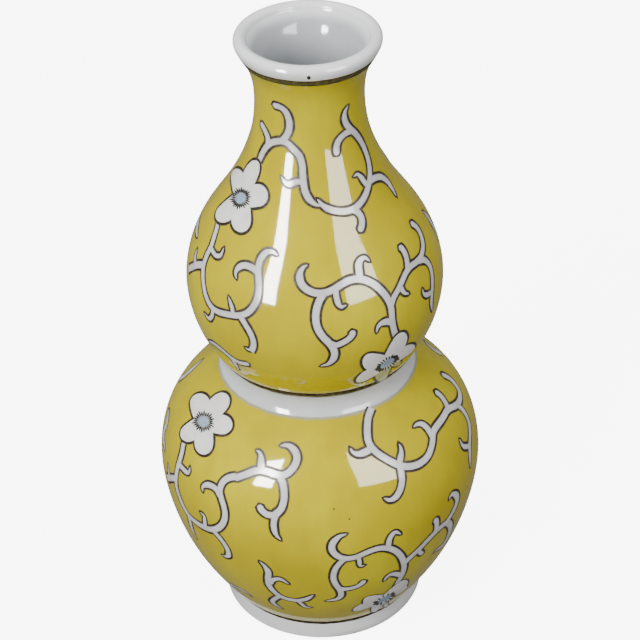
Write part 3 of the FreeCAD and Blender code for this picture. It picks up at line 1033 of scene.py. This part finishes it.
def paint_speck(paint, middle, half_px):
    """A dark speck that fell on the vase."""
    left, right = np.array(middle) - (half_px, 0), np.array(middle) + (half_px, 0)
    dab_slab(paint, left, right, half_px, oval_shape, 0)


def paint_flowers():
    """The flowers over the vines, and the specks."""
    outline, white, green, eye, stamens = Paint(), Paint(), Paint(), Paint(), Paint()
    layer = 2 * vine_layers
    for name, flower in flowers.items():
        far_turn = far_turns.get(name)
        paint_petals(flower, layer, far_turn, outline, white, green)
        paint_eye(flower, layer + 2 * len(flower["petals"]), far_turn, eye, stamens)
    paint_speck(stamens, speck_on_lip, lip_speck_half_px)
    for spot in specks_on_coat:
        paint_speck(stamens, spot, coat_speck_half_px)
    outline.piece("petal_outlines", ink_material)
    white.piece("petals", petal_material)
    green.piece("green_petals", green_material)
    eye.piece("flower_eyes", eye_material)
    stamens.piece("stamens", stamen_material)


def paint_lines():
    """The lines round the foot, the waist and under the lip, and the thinner band between the rim's two."""
    lines, band = Paint(), Paint()
    waist_line = collar_top - waist_line_drop
    rim_bottom = rim_line_top - rim_band_width
    ring_slab(lines, foot_top, foot_top + foot_line_width, 0, foot_wavering)
    ring_slab(lines, waist_line, waist_line + waist_line_width, 1, waist_wavering)
    ring_slab(band, rim_bottom, rim_line_top - rim_line_width / 2, 0, band_wavering)
    ring_slab(lines, rim_line_top - rim_line_width, rim_line_top, 2, rim_wavering)
    ring_slab(lines, rim_bottom, rim_bottom + rim_lower_line_share * rim_line_width, 2, rim_wavering)
    lines.piece("ring_lines", line_material)
    band.piece("rim_band", band_material)


# Stage, lights and camera

def pale_floor():
    """A plain floor that glows, so that it looks pale under soft light, and doesn't show in the glaze."""
    material, shader, places = new_material("pale_floor", 0.9)
    grain = noise(material, places, scale=30)
    pale = ramp(material, grain, [(0.3, (0.90, 0.90, 0.90)), (0.7, (0.93, 0.93, 0.93))])
    plug(material, pale, shader.inputs["Base Color"])
    shader.inputs["Specular IOR Level"].default_value = 0.0
    shader.inputs["Emission Color"].default_value = (1, 1, 1, 1)
    shader.inputs["Emission Strength"].default_value = floor_glow
    bpy.ops.mesh.primitive_plane_add(size=floor_size)
    floor = bpy.context.object
    floor.name = "floor"
    floor.data.materials.append(material)
    floor.visible_glossy = False
    floor.visible_diffuse = False


def aimed(place, target):
    """A turn that points -Z from a place to a target."""
    return (Vector(target) - Vector(place)).to_track_quat("-Z", "Y").to_matrix().to_4x4()


def area_light(name, place, target, width, height, watts):
    light = bpy.data.lights.new(name, "AREA")
    light.shape = "RECTANGLE"
    light.size = width
    light.size_y = height
    light.energy = watts
    lamp = bpy.data.objects.new(name, light)
    bpy.context.scene.collection.objects.link(lamp)
    lamp.matrix_world = Matrix.Translation(place) @ aimed(place, target)
    return lamp


def shine(name, place, width, tall, watts):
    """A softbox close to the vase on the camera's side, that only shows as a reflection in the glaze."""
    lamp = area_light(name, place, (place[0], 0, place[2]), width, tall, watts)
    lamp.visible_diffuse = False


def soft_light(name, place, size, watts):
    """A wide softbox far off, that lights the vase and doesn't show in the glaze."""
    lamp = area_light(name, place, (0, 0, camera_target_height), size, size, watts)
    lamp.visible_glossy = False


def daylight():
    world = bpy.data.worlds.new("pale_room")
    bpy.context.scene.world = world
    world.use_nodes = True
    sky = world.node_tree.nodes["Background"]
    sky.inputs["Color"].default_value = (1.0, 1.0, 1.0, 1)
    sky.inputs["Strength"].default_value = room_strength


def photo_camera():
    place, right, top, forward = camera_axes()
    camera = bpy.data.cameras.new("photo_camera")
    camera.sensor_fit = "HORIZONTAL"
    camera.sensor_width = sensor_width_mm
    camera.lens = focal_px * sensor_width_mm / picture_px
    camera.clip_start = nearest_view
    seat = bpy.data.objects.new("photo_camera", camera)
    bpy.context.scene.collection.objects.link(seat)
    turn = Matrix((right, top, -forward)).transposed().to_4x4()
    seat.matrix_world = Matrix.Translation(place) @ turn
    bpy.context.scene.camera = seat


ink_material = ink("ink", (0.028, 0.022, 0.014), (0.11, 0.09, 0.022))
stamen_material = ink("stamen_ink", (0.012, 0.011, 0.011), (0.05, 0.045, 0.03))
line_material = ink("line_ink", (0.045, 0.037, 0.016), (0.12, 0.10, 0.022), gloss=0.0)
band_material = ink("band_ink", (0.055, 0.048, 0.014), (0.16, 0.135, 0.04))
vine_material = white_paint("vine_white", (0.74, 0.72, 0.73), (0.60, 0.58, 0.60), 0.45)
petal_material = white_paint("petal_white", (0.90, 0.89, 0.86), (0.80, 0.79, 0.78), 0.1)
green_material = white_paint("petal_green", (0.50, 0.54, 0.34), (0.42, 0.45, 0.27), 0.1)
eye_material = eye_blue()
# The body's dark grey is painted shade for the inside of the vase, seen through the mouth; the porcelain
# itself is white like the lip
shaded_body_material = porcelain("shaded_body_porcelain", (0.44, 0.46, 0.475), (0.38, 0.40, 0.415))
# The lip's inside darkens to painted shade down inside the mouth
lip_material = porcelain("lip_porcelain", (0.90, 0.91, 0.90), (0.84, 0.85, 0.85), inside=mouth_painted_shade)
collar_material = porcelain("collar_porcelain", (0.68, 0.69, 0.69), (0.58, 0.60, 0.61))
# The lower coat fades into the collar, with painted shade at the collar's lower edge
lower_yellow = yellow_enamel(feather=(collar_bottom - feather_below, collar_bottom + feather_above))

for node in ("base_disc", "lower_bowl", "lower_shoulder", "upper_bowl"):
    smooth_copy(node, shaded_body_material)
smooth_copy("foot_ring", foot_porcelain())
smooth_copy("waist_collar", collar_material)
turned_neck()
turned_lip()
coat("lower_coat", "lower_enamel", foot_top, collar_bottom, lower_yellow)
coat("upper_coat", "upper_enamel", collar_top, rim_line_height, yellow_enamel())
paint_vines("upper_vines", upper_vines)
paint_vines("lower_vines", lower_vines)
paint_flowers()
paint_lines()

pale_floor()
daylight()
shine("left_strip", **left_strip)
shine("right_window", **right_window)
soft_light("key_softbox", **key_softbox)
soft_light("fill_softbox", **fill_softbox)
soft_light("top_softbox", **top_softbox)
photo_camera()
